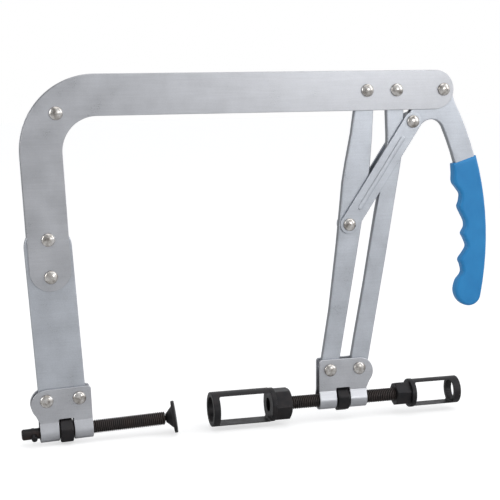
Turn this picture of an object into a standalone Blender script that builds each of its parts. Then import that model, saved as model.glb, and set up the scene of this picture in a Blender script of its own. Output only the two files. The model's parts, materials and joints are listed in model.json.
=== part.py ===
"""Overhead valve spring compressor: a C-frame of two steel strips with a screwed swivel foot on
its fixed arm, and a handle, toggle and parallel links that carry a threaded rod with two caged
spring adapters on the other side.

Frame: X along the beam, Z up, -Y is the front. The origin is under the middle of the tool, at
the height of its lowest point. The tool is shown closed: the toggle is over centre and locked.
"""
from math import acos, asin, atan2, ceil, cos, hypot, pi, radians, sin, sqrt

import bmesh
import bpy
from mathutils import Matrix, Vector

MM = 0.001

# Layers, measured from the middle plane outwards
MID_THICKNESS = 6.6 * MM          # links, lower arm and handle
LAYER_GAP = 0.3 * MM
SHEET = 2.0 * MM                  # frame plates and toggles
BRACKET_SHEET = 1.8 * MM
MID_Y = MID_THICKNESS / 2
SHEET_IN = MID_Y + LAYER_GAP
SHEET_OUT = SHEET_IN + SHEET

# C-frame
STRIP = 35.1 * MM                 # width of the frame strip
BEAM_Z = 299.30 * MM
PIVOT_Z = BEAM_Z + 0.2 * MM       # the pivots sit just above the strip's centre line
CORNER_X = -144.5 * MM            # centre of the corner's arcs
CORNER_R = 47 * MM                # centre line of the corner
LEG_LEAN = radians(2.5)
LEG_LENGTH = 98.2 * MM            # from the corner's arc to the centre of the round end
CORNER_RIVET_ANGLE = radians(136.5)
LEG_RIVETS = (71.4 * MM, 103.4 * MM)
BEAM_END_X = 162.1 * MM           # centre of the beam's round end

# Lower arm
ARM_LEAN = radians(3.5)
ARM_WIDTH = 40.2 * MM
ARM_TOP = 9.0 * MM                # centre of its round top, above the middle of its two rivets
ARM_BRACKET = 123 * MM            # fixed bracket's rivets, below the same point
ARM_TAIL = 12.5 * MM              # material below those rivets
ARM_CORNER = 5 * MM

# Pivots and linkage
PIVOT_GAP = 28 * MM               # between the two links, and between each bracket's rivets
HANDLE_PIVOT_X = 170 * MM
OUTER_PIVOT_X = 124.6 * MM
INNER_PIVOT_X = OUTER_PIVOT_X - PIVOT_GAP
LINK_LENGTH = 254.2 * MM
LINK_LEAN = radians(7.75)
LINK_END_R = 8.2 * MM
TOGGLE_ON_LINK = 120.2 * MM       # toggle pivot, down the inner link
HANDLE_ARM = 40.9 * MM
HANDLE_ARM_ANGLE = radians(223.8)
TOGGLE_END_R = 8.5 * MM
TOGGLE_RIB_INSET = 18 * MM
TOGGLE_RIB_WIDTH = 3.6 * MM
TOGGLE_RIB_HEIGHT = 0.7 * MM

# Handle lever and grip, both drawn about one far centre
HANDLE_ARC_X = -61.8 * MM
HANDLE_ARC_Z = 158.6 * MM
HANDLE_OUTER_R = 276.2 * MM
HANDLE_INNER_R = 256.2 * MM
HANDLE_HEAD_R = 8.5 * MM
HANDLE_EAR_R = 7.9 * MM
HANDLE_FILLET_R = 12.6 * MM
TANG_INNER_R = 262.5 * MM
TANG_END = radians(-4.0)
GRIP_START = radians(16.8)
GRIP_SKIN = 1.5 * MM
GRIP_THICKNESS = 10.8 * MM

# Brackets: a strip folded round a barrel, drawn about the middle of its two rivets
BRACKET_TILT = radians(2.0)       # of the fixed bracket
BRACKET_TOP = 9.8 * MM
BRACKET_FLAT = 24.4 * MM          # rivet middle to the straight side
BULGE_X = 14.2 * MM
BULGE_Z = -3.5 * MM
BULGE_R = 13.2 * MM
BARREL_DROP = 28.9 * MM
BARREL_END = 21.2 * MM            # rivet middle to the barrel's end on the bulge side
BARREL_R = 8.4 * MM
WINDOW_WIDTH = 13 * MM
WINDOW_RISE = 11.6 * MM           # window top above the barrel's axis

# Threaded parts
THREAD_R = 6 * MM
BORE_R = THREAD_R + LAYER_GAP
NUT_AF = 20 * MM
NUT_WIDTH = 10.8 * MM
FIXED_NUT_PHASE = radians(45)
MOVING_NUT_PHASE = radians(38)
SCREW_TILT = radians(2.0)
STUB_END = -38.3 * MM             # along the pad screw, from the middle of its nut
STUB_R = 4.7 * MM
THREAD_START = -23.4 * MM
SCREW_END = 86.6 * MM
STUD_BORE_R = 2.1 * MM
STUD_BORE_DEPTH = 8.5 * MM
CROSS_PIN_AT = -28.3 * MM
CROSS_PIN_R = 2.5 * MM
CROSS_PIN_ENDS = (-10 * MM, 6.2 * MM)
CROSS_PIN_TURN = radians(15)
ROD_ENDS = (14 * MM, 137 * MM)
CHAMFER = 1.0 * MM

# Swivel foot, measured from the centre of its ball
BALL_AT = 89.1 * MM
BALL_R = 2.8 * MM
STEM_R = 1.8 * MM
SOCKET_R = 3.0 * MM
FOOT_NECK_R = 4.1 * MM
FOOT_LIP = -1.2 * MM
FOOT_CONE_R = 9.2 * MM
FOOT_BACK = 5 * MM
FOOT_FACE = 7.8 * MM
FOOT_R = 14.2 * MM
FOOT_PITCH = radians(8.3)
FOOT_YAW = radians(-11.5)

# Spring adapters, each a caged cup with a hexagon: places along X
LARGE_ADAPTER = {"rim": -48.9, "ring": 6.0, "collar": 4.6, "cup": 47.7, "hexagon": 15.0,
                 "radius": 15.5, "collar_radius": 15.2, "bore": 11.0, "slot": 13.0,
                 "across_flats": 26, "phase": 0, "side": 1}
SMALL_ADAPTER = {"rim": 189.1, "ring": 6.6, "collar": 4.4, "cup": 37.7, "hexagon": 13.9,
                 "radius": 12.7, "collar_radius": 13.2, "bore": 9.3, "slot": 11.0,
                 "across_flats": 20, "phase": 18, "side": -1}

# Rivets
RIVET_R = 4 * MM
RIVET_HOLE_R = RIVET_R + LAYER_GAP
RIVET_HEAD_R = 5.8 * MM
RIVET_HEAD_H = 2.5 * MM
SPACER_R = 7 * MM

ARC_STEP = radians(12)
ROUND_SIDES = 28
CUT_MARGIN = 2 * MM

ZINC = ((0.60, 0.61, 0.64), 0.35, 0.9)
NICKEL = ((0.66, 0.62, 0.56), 0.25, 1.0)
BLACK_OXIDE = ((0.022, 0.021, 0.022), 0.45, 0.6)
BLUE_VINYL = ((0.030, 0.245, 0.565), 0.42, 0.0)


# --- Points ------------------------------------------------------------------------------------

def polar(centre, radius, angle):
    """The point at this radius and angle from a centre in the XZ plane."""
    return (centre[0] + radius * cos(angle), centre[1] + radius * sin(angle))


def arc(centre, radius, start, end, step=ARC_STEP):
    """Points along an arc in the XZ plane, both ends included."""
    count = max(2, ceil(abs(end - start) / step))
    return [polar(centre, radius, start + (end - start) * i / count) for i in range(count + 1)]


def along(start, direction, distance):
    """The point at a distance from start along a direction in the XZ plane."""
    return (start[0] + direction[0] * distance, start[1] + direction[1] * distance)


def spot(point):
    """A place in the middle plane, from its X and Z."""
    return Vector((point[0], 0, point[1]))


def link_down(point, distance):
    """The point at a distance down a link from its upper pivot."""
    return (point[0] - distance * sin(LINK_LEAN), point[1] - distance * cos(LINK_LEAN))


CORNER = (CORNER_X, BEAM_Z - CORNER_R)
LEG_START = polar(CORNER, CORNER_R, pi + LEG_LEAN)
LEG_DOWN = (sin(LEG_LEAN), -cos(LEG_LEAN))
LEG_RIVET_POINTS = [along(LEG_START, LEG_DOWN, distance) for distance in LEG_RIVETS]
CORNER_RIVET_POINT = polar(CORNER, CORNER_R, CORNER_RIVET_ANGLE)
ARM_MIDDLE = tuple((a + b) / 2 for a, b in zip(*LEG_RIVET_POINTS))
ARM_DOWN = (sin(ARM_LEAN), -cos(ARM_LEAN))

HANDLE_PIVOT = (HANDLE_PIVOT_X, PIVOT_Z)
OUTER_PIVOT = (OUTER_PIVOT_X, PIVOT_Z)
INNER_PIVOT = (INNER_PIVOT_X, PIVOT_Z)
TOGGLE_LINK_PIVOT = link_down(INNER_PIVOT, TOGGLE_ON_LINK)
TOGGLE_HANDLE_PIVOT = polar(HANDLE_PIVOT, HANDLE_ARM, HANDLE_ARM_ANGLE)
INNER_FOOT = link_down(INNER_PIVOT, LINK_LENGTH)
OUTER_FOOT = link_down(OUTER_PIVOT, LINK_LENGTH)

FIXED_BRACKET = along(ARM_MIDDLE, ARM_DOWN, ARM_BRACKET)
MOVING_BRACKET = ((INNER_FOOT[0] + OUTER_FOOT[0]) / 2, INNER_FOOT[1])
BARREL_MIDDLE = (BRACKET_FLAT - BARREL_END) / 2


def bracket_matrix(place, tilt, side):
    """From a bracket's own frame, bulge towards -X, to the tool's; side -1 turns it round."""
    turn = Matrix.Rotation(-tilt, 4, 'Y')
    return Matrix.Translation(spot(place)) @ turn @ Matrix.Diagonal((side, 1, 1, 1))


FIXED_MATRIX = bracket_matrix(FIXED_BRACKET, BRACKET_TILT, 1)
MOVING_MATRIX = bracket_matrix(MOVING_BRACKET, 0, -1)
FIXED_NUT_PLACE = FIXED_MATRIX @ Vector((BARREL_MIDDLE, 0, -BARREL_DROP))
MOVING_NUT_PLACE = MOVING_MATRIX @ Vector((BARREL_MIDDLE, 0, -BARREL_DROP))
SCREW_MATRIX = Matrix.Translation(FIXED_NUT_PLACE) @ Matrix.Rotation(-SCREW_TILT, 4, 'Y')
ROD_MATRIX = Matrix.Translation((0, 0, MOVING_NUT_PLACE.z))
BALL_PLACE = SCREW_MATRIX @ Vector((BALL_AT, 0, 0))
FOOT_MATRIX = (Matrix.Translation(BALL_PLACE) @ Matrix.Rotation(FOOT_YAW, 4, 'Z')
               @ Matrix.Rotation(-FOOT_PITCH, 4, 'Y'))


# --- Objects -----------------------------------------------------------------------------------

def clear_scene():
    for item in list(bpy.data.objects):
        bpy.data.objects.remove(item, do_unlink=True)


def finish_material(name, look):
    colour, roughness, metallic = look
    material = bpy.data.materials.new(name)
    material.use_nodes = True
    shader = material.node_tree.nodes["Principled BSDF"]
    shader.inputs["Base Color"].default_value = (*colour, 1)
    shader.inputs["Roughness"].default_value = roughness
    shader.inputs["Metallic"].default_value = metallic
    return material


def make_object(name, shape, look, matrix=Matrix.Identity(4)):
    """An object from a bmesh, moved by the matrix, with outward faces and smooth round sides."""
    bmesh.ops.transform(shape, matrix=matrix, verts=shape.verts)
    bmesh.ops.recalc_face_normals(shape, faces=shape.faces)
    mesh = bpy.data.meshes.new(name)
    shape.to_mesh(mesh)
    shape.free()
    mesh.shade_smooth()
    mesh.set_sharp_from_angle(angle=radians(35))
    result = bpy.data.objects.new(name, mesh)
    bpy.context.collection.objects.link(result)
    result.data.materials.append(finish_material(name, look))
    return result


def combine(target, tool, operation):
    """Apply a Boolean of a bmesh tool to the target object, and drop the tool."""
    bmesh.ops.recalc_face_normals(tool, faces=tool.faces)
    mesh = bpy.data.meshes.new("tool")
    tool.to_mesh(mesh)
    tool.free()
    cutter = bpy.data.objects.new("tool", mesh)
    bpy.context.collection.objects.link(cutter)
    modifier = target.modifiers.new("combine", 'BOOLEAN')
    modifier.operation = operation
    modifier.object = cutter
    depsgraph = bpy.context.evaluated_depsgraph_get()
    result = bpy.data.meshes.new_from_object(target.evaluated_get(depsgraph))
    target.modifiers.clear()
    old = target.data
    target.data = result
    bpy.data.meshes.remove(old)
    bpy.data.objects.remove(cutter, do_unlink=True)
    result.shade_smooth()
    result.set_sharp_from_angle(angle=radians(35))


def joint(name, place, parent=None):
    """An empty on a joint's axis, hung on the joint above it."""
    empty = bpy.data.objects.new(name, None)
    bpy.context.collection.objects.link(empty)
    empty.parent = parent
    empty["place"] = list(place)
    empty.location = Vector(place) - (Vector(parent["place"]) if parent else Vector())
    return empty


def hang(empty, *pieces):
    """Hang pieces that are drawn in the tool's frame on a joint's empty, without moving them."""
    for piece in pieces:
        piece.data.transform(Matrix.Translation(-Vector(empty["place"])))
        piece.parent = empty


# --- Shapes ------------------------------------------------------------------------------------

def along_y(a, b, h):
    return (a, h, b)


def along_x(a, b, h):
    return (h, a, b)


def prism(outline, low, high, holes=(), order=along_y):
    """A flat outline with round holes, given as (centre, radius), between two heights."""
    shape = bmesh.new()
    loops = [outline] + [arc(centre, radius, 0, 2 * pi)[:-1] for centre, radius in holes]
    for loop in loops:
        ring = [shape.verts.new(order(a, b, low)) for a, b in loop]
        for start, end in zip(ring, ring[1:] + ring[:1]):
            shape.edges.new((start, end))
    bmesh.ops.triangle_fill(shape, use_beauty=True, edges=shape.edges)
    rise = bmesh.ops.extrude_face_region(shape, geom=shape.faces[:])
    top = [item for item in rise["geom"] if isinstance(item, bmesh.types.BMVert)]
    bmesh.ops.translate(shape, verts=top, vec=Vector(order(0, 0, high)) - Vector(order(0, 0, low)))
    return shape


def lathe(profile, closed=False, sides=ROUND_SIDES):
    """Turn (X, radius) points about the X axis. A closed profile makes a ring."""
    shape = bmesh.new()
    rings = []
    for place, radius in profile:
        if radius < 0.01 * MM:
            rings.append([shape.verts.new((place, 0, 0))])
        else:
            rings.append([shape.verts.new((place, radius * cos(2 * pi * i / sides),
                                           radius * sin(2 * pi * i / sides))) for i in range(sides)])
    pairs = list(zip(rings, rings[1:] + rings[:1])) if closed else list(zip(rings, rings[1:]))
    for first, second in pairs:
        for i in range(sides):
            j = (i + 1) % sides
            corners = [first[i % len(first)], first[j % len(first)],
                       second[j % len(second)], second[i % len(second)]]
            corners = list(dict.fromkeys(corners))
            if len(corners) > 2:
                shape.faces.new(corners)
    return shape


def hexagon(across_flats, phase=0.0):
    """A hexagon in the YZ plane. Phase 0 points a corner at the front; positive turns it up."""
    radius = across_flats / sqrt(3)
    return [(-radius * cos(phase + i * pi / 3), radius * sin(phase + i * pi / 3)) for i in range(6)]


def side_y(side, inner, outer):
    """The lower and upper Y of a layer on the front (-1) or rear (1) side."""
    return sorted((side * inner, side * outer))


def capsule(first, second, radius):
    """A strip with round ends between two points."""
    heading = atan2(second[1] - first[1], second[0] - first[0])
    return (arc(second, radius, heading - pi / 2, heading + pi / 2)
            + arc(first, radius, heading + pi / 2, heading + 3 * pi / 2))


# --- C-frame -----------------------------------------------------------------------------------

def frame_outline():
    half = STRIP / 2
    leg_end = along(LEG_START, LEG_DOWN, LEG_LENGTH)
    return (arc((BEAM_END_X, BEAM_Z), half, -pi / 2, pi / 2)
            + arc(CORNER, CORNER_R + half, pi / 2, pi + LEG_LEAN, ARC_STEP / 2)
            + arc(leg_end, half, pi + LEG_LEAN, 2 * pi + LEG_LEAN)
            + arc(CORNER, CORNER_R - half, pi + LEG_LEAN, pi / 2))


def frame_plate(name, side):
    low, high = side_y(side, SHEET_IN, SHEET_OUT)
    centres = [CORNER_RIVET_POINT, *LEG_RIVET_POINTS, INNER_PIVOT, OUTER_PIVOT, HANDLE_PIVOT]
    holes = [(centre, RIVET_HOLE_R) for centre in centres]
    return make_object(name, prism(frame_outline(), low, high, holes), ZINC)


def lower_arm():
    half = ARM_WIDTH / 2
    across = (cos(ARM_LEAN), sin(ARM_LEAN))
    top = along(ARM_MIDDLE, ARM_DOWN, -ARM_TOP)
    corner_row = along(ARM_MIDDLE, ARM_DOWN, ARM_BRACKET + ARM_TAIL - ARM_CORNER)
    left = along(corner_row, across, ARM_CORNER - half)
    right = along(corner_row, across, half - ARM_CORNER)
    outline = (arc(top, half, ARM_LEAN, pi + ARM_LEAN)
               + arc(left, ARM_CORNER, pi + ARM_LEAN, 3 * pi / 2 + ARM_LEAN)
               + arc(right, ARM_CORNER, 3 * pi / 2 + ARM_LEAN, 2 * pi + ARM_LEAN))
    centres = LEG_RIVET_POINTS + bracket_rivet_points(FIXED_MATRIX)
    holes = [(centre, RIVET_HOLE_R) for centre in centres]
    return make_object("lower_arm", prism(outline, -MID_Y, MID_Y, holes), ZINC)


def corner_spacer():
    profile = [(-MID_Y, SPACER_R), (MID_Y, SPACER_R), (MID_Y, RIVET_HOLE_R), (-MID_Y, RIVET_HOLE_R)]
    matrix = Matrix.Translation(spot(CORNER_RIVET_POINT)) @ Matrix.Rotation(pi / 2, 4, 'Z')
    return make_object("corner_spacer", lathe(profile, closed=True), ZINC, matrix)


# --- Rivets ------------------------------------------------------------------------------------

def rivet_head(sign, seat):
    """Half of a rivet's profile, from its shank over one domed head."""
    sphere = (RIVET_HEAD_R ** 2 + RIVET_HEAD_H ** 2) / (2 * RIVET_HEAD_H)
    edge = asin(RIVET_HEAD_R / sphere)
    dome = [(sign * (seat + sphere * (cos(edge * k / 4) - cos(edge))), sphere * sin(edge * k / 4))
            for k in range(4, 0, -1)]
    return [(sign * seat, RIVET_R)] + dome + [(sign * (seat + RIVET_HEAD_H), 0)]


def rivet(name, point, seat=SHEET_OUT):
    """A rivet across all three layers, with a domed head at each end."""
    head_seat = seat + LAYER_GAP
    profile = rivet_head(-1, head_seat)[::-1] + rivet_head(1, head_seat)
    matrix = Matrix.Translation(spot(point)) @ Matrix.Rotation(pi / 2, 4, 'Z')
    return make_object(name, lathe(profile), NICKEL, matrix)


def half_rivet(name, point, side):
    """One end of a rivet: its head, and the shank as far as the toggle it holds."""
    profile = [(SHEET_IN, 0)] + [(SHEET_IN, RIVET_R)] + rivet_head(1, SHEET_OUT + LAYER_GAP)
    matrix = Matrix.Translation(spot(point)) @ Matrix.Rotation(side * pi / 2, 4, 'Z')
    return make_object(name, lathe(profile), NICKEL, matrix)


# --- Brackets ----------------------------------------------------------------------------------

def bracket_rivet_points(matrix):
    """The places of a bracket's two rivets, the one on the bulge side first."""
    places = [matrix @ Vector((offset, 0, 0)) for offset in (-PIVOT_GAP / 2, PIVOT_GAP / 2)]
    return [(place.x, place.z) for place in places]


def barrel_section():
    """The folded strip's section in the YZ plane: two ears over an open barrel."""
    outer_y = SHEET_IN + BRACKET_SHEET
    inner_r = BARREL_R - BRACKET_SHEET
    axis = (0, -BARREL_DROP)
    outer = arc(axis, BARREL_R, pi - acos(outer_y / BARREL_R), 2 * pi + acos(outer_y / BARREL_R))
    inner = arc(axis, inner_r, 2 * pi + acos(SHEET_IN / inner_r), pi - acos(SHEET_IN / inner_r))
    top = BRACKET_TOP + CUT_MARGIN
    return ([(-outer_y, top)] + outer + [(outer_y, top), (SHEET_IN, top)] + inner
            + [(-SHEET_IN, top)])


def bracket_outline():
    """The ears' outline: a big round bulge, a straight side, and the barrel's length below."""
    corner = 2.5 * MM
    bottom = -BARREL_DROP - BARREL_R - CUT_MARGIN
    neck = (-BULGE_X - 11.4 * MM, BULGE_Z - 10.2 * MM)
    return ([(-BARREL_END, bottom), (BRACKET_FLAT, bottom)]
            + arc((BRACKET_FLAT - corner, BRACKET_TOP - corner), corner, 0, pi / 2, radians(30))
            + arc((-BULGE_X, BULGE_Z), BULGE_R, pi / 2, pi + radians(24))
            + [neck, (-BARREL_END, -BARREL_DROP + BARREL_R + 1.5 * MM)])


def folded_bracket(name, matrix):
    body = make_object(name, prism(barrel_section(), -45 * MM, 45 * MM, order=along_x), ZINC)
    wide = BARREL_R + CUT_MARGIN
    holes = [((offset, 0), RIVET_HOLE_R) for offset in (-PIVOT_GAP / 2, PIVOT_GAP / 2)]
    combine(body, prism(bracket_outline(), -wide, wide, holes), 'INTERSECT')
    left = BARREL_MIDDLE - WINDOW_WIDTH / 2
    right = BARREL_MIDDLE + WINDOW_WIDTH / 2
    bottom = -BARREL_DROP - wide
    top = -BARREL_DROP + WINDOW_RISE
    window = [(left, bottom), (right, bottom), (right, top), (left, top)]
    combine(body, prism(window, -wide, wide), 'DIFFERENCE')
    body.data.transform(matrix)
    if matrix.determinant() < 0:
        body.data.flip_normals()
    return body


# --- Threaded parts ----------------------------------------------------------------------------

def hex_nut(name, matrix, phase):
    half = NUT_WIDTH / 2
    shape = prism(hexagon(NUT_AF, phase), -half, half, [((0, 0), BORE_R)], along_x)
    return make_object(name, shape, BLACK_OXIDE, matrix)


def pad_screw():
    stud = SCREW_END - STUD_BORE_DEPTH
    profile = [(STUB_END, 0), (STUB_END, STUB_R - CHAMFER), (STUB_END + CHAMFER, STUB_R),
               (THREAD_START, STUB_R), (THREAD_START, THREAD_R - CHAMFER),
               (THREAD_START + CHAMFER, THREAD_R), (SCREW_END - CHAMFER, THREAD_R),
               (SCREW_END, THREAD_R - CHAMFER), (SCREW_END, STUD_BORE_R), (stud, STUD_BORE_R),
               (stud, 0)]
    screw = make_object("pad_screw", lathe(profile), BLACK_OXIDE, SCREW_MATRIX)
    combine(screw, cross_pin_shape(CROSS_PIN_R + LAYER_GAP), 'DIFFERENCE')
    return screw


def cross_pin_matrix():
    return (SCREW_MATRIX @ Matrix.Translation((CROSS_PIN_AT, 0, 0))
            @ Matrix.Rotation(CROSS_PIN_TURN, 4, 'X') @ Matrix.Rotation(pi / 2, 4, 'Z'))


def cross_pin_shape(radius):
    """A plain bar across the screw's stub, in the tool's frame."""
    front, rear = CROSS_PIN_ENDS
    shape = lathe([(front, 0), (front, radius), (rear, radius), (rear, 0)], sides=16)
    bmesh.ops.transform(shape, matrix=cross_pin_matrix(), verts=shape.verts)
    return shape


def foot_ball():
    """The ball stud that joins the screw and the foot."""
    start = SCREW_END - STUD_BORE_DEPTH + LAYER_GAP - BALL_AT
    meet = asin(STEM_R / BALL_R)
    ball = [(-BALL_R * cos(meet + (pi - meet) * k / 6), BALL_R * sin(meet + (pi - meet) * k / 6))
            for k in range(7)]
    profile = [(start, 0), (start, STEM_R)] + ball
    matrix = SCREW_MATRIX @ Matrix.Translation((BALL_AT, 0, 0))
    return make_object("foot_ball", lathe(profile, sides=16), BLACK_OXIDE, matrix)


def swivel_foot():
    """A round pad with a flared back and an open socket for the ball."""
    lip = acos(FOOT_LIP / SOCKET_R)
    socket = [(SOCKET_R * cos(lip * k / 6), SOCKET_R * sin(lip * k / 6)) for k in range(7)]
    flare = [(FOOT_BACK * k / 4, FOOT_NECK_R + (FOOT_CONE_R - FOOT_NECK_R) * (k / 4) ** 1.4)
             for k in range(1, 5)]
    profile = (socket + [(FOOT_LIP, FOOT_NECK_R)] + flare
               + [(FOOT_BACK, FOOT_R), (FOOT_FACE, FOOT_R), (FOOT_FACE, 0)])
    return make_object("swivel_foot", lathe(profile), BLACK_OXIDE, FOOT_MATRIX)


def threaded_rod():
    left, right = ROD_ENDS
    profile = [(left, 0), (left, THREAD_R - CHAMFER), (left + CHAMFER, THREAD_R),
               (right - CHAMFER, THREAD_R), (right, THREAD_R - CHAMFER), (right, 0)]
    return make_object("threaded_rod", lathe(profile), BLACK_OXIDE, ROD_MATRIX)


def adapter(name, sizes):
    """A spring adapter: rim ring, open cup with two windows, collar and hexagon."""
    side = sizes["side"]
    rim = sizes["rim"] * MM
    radius = sizes["radius"] * MM
    collar_radius = sizes["collar_radius"] * MM
    slot_start = rim + side * sizes["ring"] * MM
    cup_end = slot_start + side * sizes["cup"] * MM
    collar_end = cup_end + side * sizes["collar"] * MM
    tail = collar_end + side * sizes["hexagon"] * MM
    body = make_object(name, lathe([(rim, 0), (rim, radius), (cup_end, radius),
                                    (cup_end, collar_radius), (collar_end, collar_radius),
                                    (collar_end, 0)]), BLACK_OXIDE)
    inside = collar_end - side * CHAMFER
    hexagonal = hexagon(sizes["across_flats"] * MM, radians(sizes["phase"]))
    combine(body, prism(hexagonal, *sorted((inside, tail)), order=along_x), 'UNION')
    outside = rim - side * CUT_MARGIN
    floor = cup_end - side * CHAMFER
    beyond = tail + side * CUT_MARGIN
    bore = sizes["bore"] * MM
    combine(body, lathe([(outside, 0), (outside, bore), (floor, bore), (floor, BORE_R),
                         (beyond, BORE_R), (beyond, 0)]), 'DIFFERENCE')
    slot = sizes["slot"] * MM
    window = [(slot_start, -slot), (cup_end, -slot), (cup_end, slot), (slot_start, slot)]
    combine(body, prism(window, -2 * radius, 2 * radius), 'DIFFERENCE')
    body.data.transform(ROD_MATRIX)
    return body


# --- Links, toggle and handle ------------------------------------------------------------------

def link_edge(pivot, stations):
    """Points at (distance down the link, offset to its right) from its upper pivot."""
    across = (cos(LINK_LEAN), -sin(LINK_LEAN))
    return [along(link_down(pivot, down * MM), across, offset * MM) for down, offset in stations]


def link_outline(pivot, left_edge, right_edge):
    """A link between round ends, with its two edges as stations down its length."""
    foot = link_down(pivot, LINK_LENGTH)
    top = arc(pivot, LINK_END_R, -LINK_LEAN, pi - LINK_LEAN)
    bottom = arc(foot, LINK_END_R, pi - LINK_LEAN, 2 * pi - LINK_LEAN)
    return top + link_edge(pivot, left_edge) + bottom + link_edge(pivot, right_edge)[::-1]


def inner_link():
    left = ((40, -8.3), (66, -9.8), (84, -10.3), (104, -9.4), (140, -8.0), (200, -6.9))
    right = ((20, 9.4), (44, 11.6), (72, 13.2), (96, 12.8), (150, 11.5), (205, 9.7))
    holes = [(centre, RIVET_HOLE_R) for centre in (INNER_PIVOT, TOGGLE_LINK_PIVOT, INNER_FOOT)]
    outline = link_outline(INNER_PIVOT, left, right)
    return make_object("inner_link", prism(outline, -MID_Y, MID_Y, holes), ZINC)


def outer_link():
    left = ((20, -5.8), (40, -2.2), (52, -0.9), (66, -1.2), (110, -3.3), (175, -5.0), (225, -7.2))
    right = ((18, 10.2), (38, 13.4), (52, 14.3), (66, 14.2), (100, 13.2), (150, 11.9), (210, 9.7))
    holes = [(centre, RIVET_HOLE_R) for centre in (OUTER_PIVOT, OUTER_FOOT)]
    outline = link_outline(OUTER_PIVOT, left, right)
    return make_object("outer_link", prism(outline, -MID_Y, MID_Y, holes), ZINC)


def toggle(name, side):
    """A strip from the inner link to the handle, with a raised rib along its middle."""
    low, high = side_y(side, SHEET_IN, SHEET_OUT)
    first, second = TOGGLE_LINK_PIVOT, TOGGLE_HANDLE_PIVOT
    holes = [(first, RIVET_HOLE_R), (second, RIVET_HOLE_R)]
    plate = make_object(name, prism(capsule(first, second, TOGGLE_END_R), low, high, holes), ZINC)
    span = hypot(second[0] - first[0], second[1] - first[1])
    heading = ((second[0] - first[0]) / span, (second[1] - first[1]) / span)
    rib = capsule(along(first, heading, TOGGLE_RIB_INSET), along(first, heading, span - TOGGLE_RIB_INSET),
                  TOGGLE_RIB_WIDTH / 2)
    rib_y = side_y(side, SHEET_IN + SHEET / 2, SHEET_OUT + TOGGLE_RIB_HEIGHT)
    combine(plate, prism(rib, *rib_y), 'UNION')
    return plate


def handle_outline():
    """A bell crank: head on the frame's pivot, ear on the toggle's, and a long curved bar."""
    centre = (HANDLE_ARC_X, HANDLE_ARC_Z)
    ear, head = TOGGLE_HANDLE_PIVOT, HANDLE_PIVOT
    reach = HANDLE_INNER_R - HANDLE_FILLET_R
    fillet_angle = radians(24.6)
    fillet = polar(centre, reach, fillet_angle)
    gap = hypot(fillet[0] - ear[0], fillet[1] - ear[1])
    line = (atan2(fillet[1] - ear[1], fillet[0] - ear[0])
            - acos((HANDLE_FILLET_R + HANDLE_EAR_R) / gap))
    crank = HANDLE_ARM_ANGLE - pi + acos((HANDLE_HEAD_R - HANDLE_EAR_R) / HANDLE_ARM)
    return (arc(head, HANDLE_HEAD_R, crank, radians(20))
            + arc(centre, HANDLE_OUTER_R, radians(28.2), TANG_END, ARC_STEP / 4)
            + arc(centre, TANG_INNER_R, TANG_END, GRIP_START - radians(1.1), ARC_STEP / 4)
            + arc(centre, HANDLE_INNER_R, GRIP_START - radians(0.1), fillet_angle, ARC_STEP / 4)
            + arc(fillet, HANDLE_FILLET_R, fillet_angle, line + pi)[1:]
            + arc(ear, HANDLE_EAR_R, line + 2 * pi, crank))


def handle_lever():
    holes = [(HANDLE_PIVOT, RIVET_HOLE_R), (TOGGLE_HANDLE_PIVOT, RIVET_HOLE_R)]
    outline = handle_outline()
    return make_object("handle_lever", prism(outline, -MID_Y, MID_Y, holes), ZINC)


def finger_edge():
    """The grip's inner edge and round end, as (height, reach), both from the far centre."""
    stations = ((73.1, 253.6), (64.7, 252.0), (56.2, 250.2), (50.2, 253.0), (44.8, 255.5),
                (38.2, 254.0), (33.1, 251.9), (27.0, 253.9), (19.9, 256.9), (14.3, 257.1),
                (8.3, 254.0), (3.6, 256.0), (-3.6, 258.8), (-8.9, 256.5), (-15.8, 252.1),
                (-21.2, 254.2), (-26.9, 256.0), (-30.7, 255.0), (-35.5, 251.8), (-43.3, 251.0),
                (-49.0, 252.8), (-54.2, 256.6), (-58.2, 261.9), (-59.9, 267.8), (-58.9, 273.2),
                (-55.6, 276.6))
    centre = (HANDLE_ARC_X, HANDLE_ARC_Z)
    return [polar(centre, reach * MM, asin(height / reach)) for height, reach in stations]


def handle_grip():
    """A dipped vinyl grip with finger hollows, pocketed for the handle's tang."""
    centre = (HANDLE_ARC_X, HANDLE_ARC_Z)
    outer = HANDLE_OUTER_R + GRIP_SKIN
    outline = finger_edge() + arc(centre, outer, radians(-10.6), GRIP_START, ARC_STEP / 4)
    half = GRIP_THICKNESS / 2
    grip = make_object("handle_grip", prism(outline, -half, half), BLUE_VINYL)
    pocket_end = TANG_END - LAYER_GAP / HANDLE_OUTER_R
    pocket = (arc(centre, HANDLE_OUTER_R + LAYER_GAP, radians(20), pocket_end, ARC_STEP / 4)
              + arc(centre, TANG_INNER_R - LAYER_GAP, pocket_end, GRIP_START - radians(1.2), ARC_STEP / 4)
              + arc(centre, HANDLE_INNER_R - LAYER_GAP, GRIP_START - radians(0.2), radians(20)))
    depth = MID_Y + LAYER_GAP
    combine(grip, prism(pocket, -depth, depth), 'DIFFERENCE')
    return grip


# --- Assembly ----------------------------------------------------------------------------------

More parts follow.
